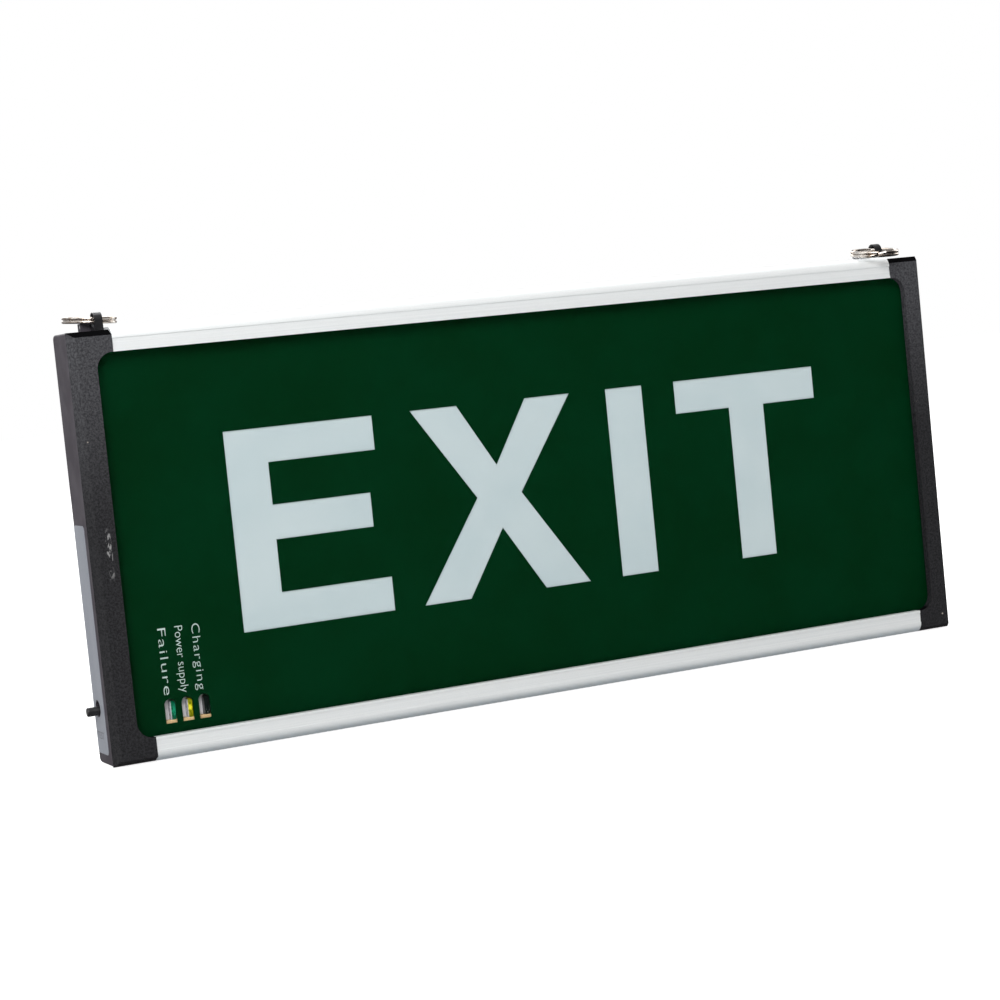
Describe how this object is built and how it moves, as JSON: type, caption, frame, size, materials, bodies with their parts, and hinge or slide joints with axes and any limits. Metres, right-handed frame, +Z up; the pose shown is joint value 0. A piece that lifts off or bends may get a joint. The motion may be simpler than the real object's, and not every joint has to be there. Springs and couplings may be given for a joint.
{
  "type": "emergency exit light",
  "caption": "Slim illuminated exit sign with aluminium rails, black end caps, dark green legend, indicator windows, side test button and hanging rings.",
  "frame": {"origin": "middle of the flat underside, on the level of the rails' lowest face", "axes": "+X along the sign, to the right of someone who faces the lit front; +Y from the front to the back; +Z up"},
  "size_m": [0.3515, 0.0351, 0.1555],
  "materials": {
    "textured_black": "spark-eroded moulded ABS",
    "smooth_black": "smooth moulded ABS, slightly warm grey-black",
    "label_grey": "matt grey film label",
    "satin_aluminium": "satin anodised extrusion",
    "clear_panel": "clear acrylic",
    "dark_green_film": "printed opaque film",
    "opal_sheet": "opal acrylic",
    "clear_guide": "clear acrylic light guide",
    "white_sheet": "white film",
    "painted_plate": "light grey painted sheet steel",
    "grommet_rubber": "soft black rubber",
    "white_board": "white solder mask",
    "lamp_chip": "phosphor-filled",
    "tan_board": "paper-phenolic circuit board",
    "zinc_steel": "bright zinc plated",
    "green_lens": "tinted clear lens",
    "yellow_lens": "tinted clear lens",
    "red_lens": "dark red lens",
    "white_plastic": "white nylon",
    "button_black": "smooth black moulding",
    "component_black": "moulded component body",
    "sleeve_blue": "shrunk sleeve",
    "lead_red": "insulated lead",
    "nickel_wire": "nickel plated spring wire"
  },
  "bodies": {
    "casing": {"left_end_cap": "textured_black", "right_end_cap": "textured_black", "left_side_cover": "smooth_black", "right_side_cover": "smooth_black", "side_label": "label_grey", "top_rail": "satin_aluminium", "bottom_rail": "satin_aluminium", "front_panel": "clear_panel", "legend_film": "dark_green_film", "diffuser": "opal_sheet", "light_guide": "clear_guide", "reflector_sheet": "white_sheet", "back_plate": "painted_plate", "cable_grommet": "grommet_rubber", "led_board": "white_board", "led_chips": "lamp_chip", "indicator_board": "tan_board", "indicator_bracket": "zinc_steel", "green_lamp": "green_lens", "yellow_lamp": "yellow_lens", "red_lamp": "red_lens", "lamp_holders": "white_plastic", "test_switch": "component_black", "battery_pack": "sleeve_blue", "battery_clip": "zinc_steel", "clip_screws": "zinc_steel", "driver_board": "tan_board", "board_standoffs": "white_plastic", "board_screws": "zinc_steel", "transformer": "component_black", "capacitors": "component_black", "relay": "component_black", "lead_headers": "white_plastic", "terminal_block": "white_plastic", "terminal_screws": "zinc_steel", "led_lead": "lead_red", "battery_lead": "lead_red", "indicator_lead": "lead_red", "mains_lead": "lead_red", "left_eye": "button_black", "right_eye": "button_black", "left_cross_screw": "zinc_steel", "right_cross_screw": "zinc_steel", "cap_screws": "zinc_steel", "rail_screws": "zinc_steel"},
    "test_button": {"test_button": "button_black", "switch_plunger": "white_plastic"},
    "left_ring": {"left_ring": "nickel_wire"},
    "right_ring": {"right_ring": "nickel_wire"}
  },
  "joints": [
    {"name": "test_button_press", "type": "slide", "parent": "casing", "child": "test_button", "axis": [1, 0, 0], "range_m": [0, 0.0015], "stiffness_N_per_m": 400, "springref_m": -0.001},
    {"name": "left_ring_swing", "type": "hinge", "parent": "casing", "child": "left_ring", "pos_m": [-0.16025, 0.00055, 0.1528], "axis": [1, 0, 0], "range_deg": [0, 182]},
    {"name": "right_ring_swing", "type": "hinge", "parent": "casing", "child": "right_ring", "pos_m": [0.16025, 0.00055, 0.1528], "axis": [-1, 0, 0], "range_deg": [0, 170]}
  ]
}
